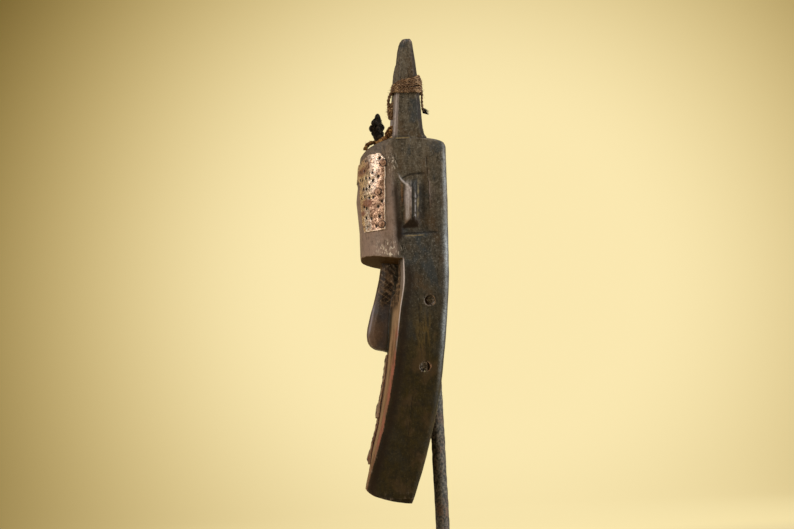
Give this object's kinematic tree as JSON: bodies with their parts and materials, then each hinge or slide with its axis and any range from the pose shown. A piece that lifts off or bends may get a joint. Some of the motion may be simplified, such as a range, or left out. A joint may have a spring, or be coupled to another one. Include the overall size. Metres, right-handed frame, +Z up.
{
  "type": "carved mask on a stand",
  "caption": "Narrow carved wooden mask with an overhanging forehead block, tall horns, punched sheet metal, corded crown and a hollow back, held up by an iron rod and foot.",
  "frame": {"origin": "middle of the underside of the stand's foot", "axes": "+Z up along the mask and the rod, -Y the way the face looks, +X to the left side of the face"},
  "size_m": [0.18, 0.15, 0.6404],
  "materials": {
    "carved_wood": "dark, oiled and worn",
    "peg_wood": "broken off, dull",
    "forehead_sheet": "punched, tarnished and rubbed",
    "face_sheet": "punched, dark and rusty",
    "nail_iron": "rusty",
    "cord_fibre": "twisted, dusty",
    "dark_fibre": "matted",
    "stand_iron": "pitted, blackened"
  },
  "bodies": {
    "root": {"stand_foot": "stand_iron", "stand_rod": "stand_iron", "mask": "carved_wood", "forehead_plate": "forehead_sheet", "upper_face_strip": "face_sheet", "lower_face_strip": "face_sheet", "peg_upper_left": "peg_wood", "peg_upper_right": "peg_wood", "peg_lower_left": "peg_wood", "peg_lower_right": "peg_wood", "plate_nail_top_left": "nail_iron", "plate_nail_top_right": "nail_iron", "plate_nail_middle_left": "nail_iron", "plate_nail_middle_right": "nail_iron", "plate_nail_bottom_left": "nail_iron", "plate_nail_bottom_right": "nail_iron", "upper_strip_nail_1_left": "nail_iron", "upper_strip_nail_1_right": "nail_iron", "upper_strip_nail_2_left": "nail_iron", "upper_strip_nail_2_right": "nail_iron", "upper_strip_nail_3_left": "nail_iron", "upper_strip_nail_3_right": "nail_iron", "lower_strip_nail_4_left": "nail_iron", "lower_strip_nail_4_right": "nail_iron", "lower_strip_nail_5_left": "nail_iron", "lower_strip_nail_5_right": "nail_iron", "horn_binding_left": "cord_fibre", "horn_binding_right": "cord_fibre", "crown_rope": "cord_fibre", "crown_tuft": "dark_fibre"}
  },
  "joints": []
}
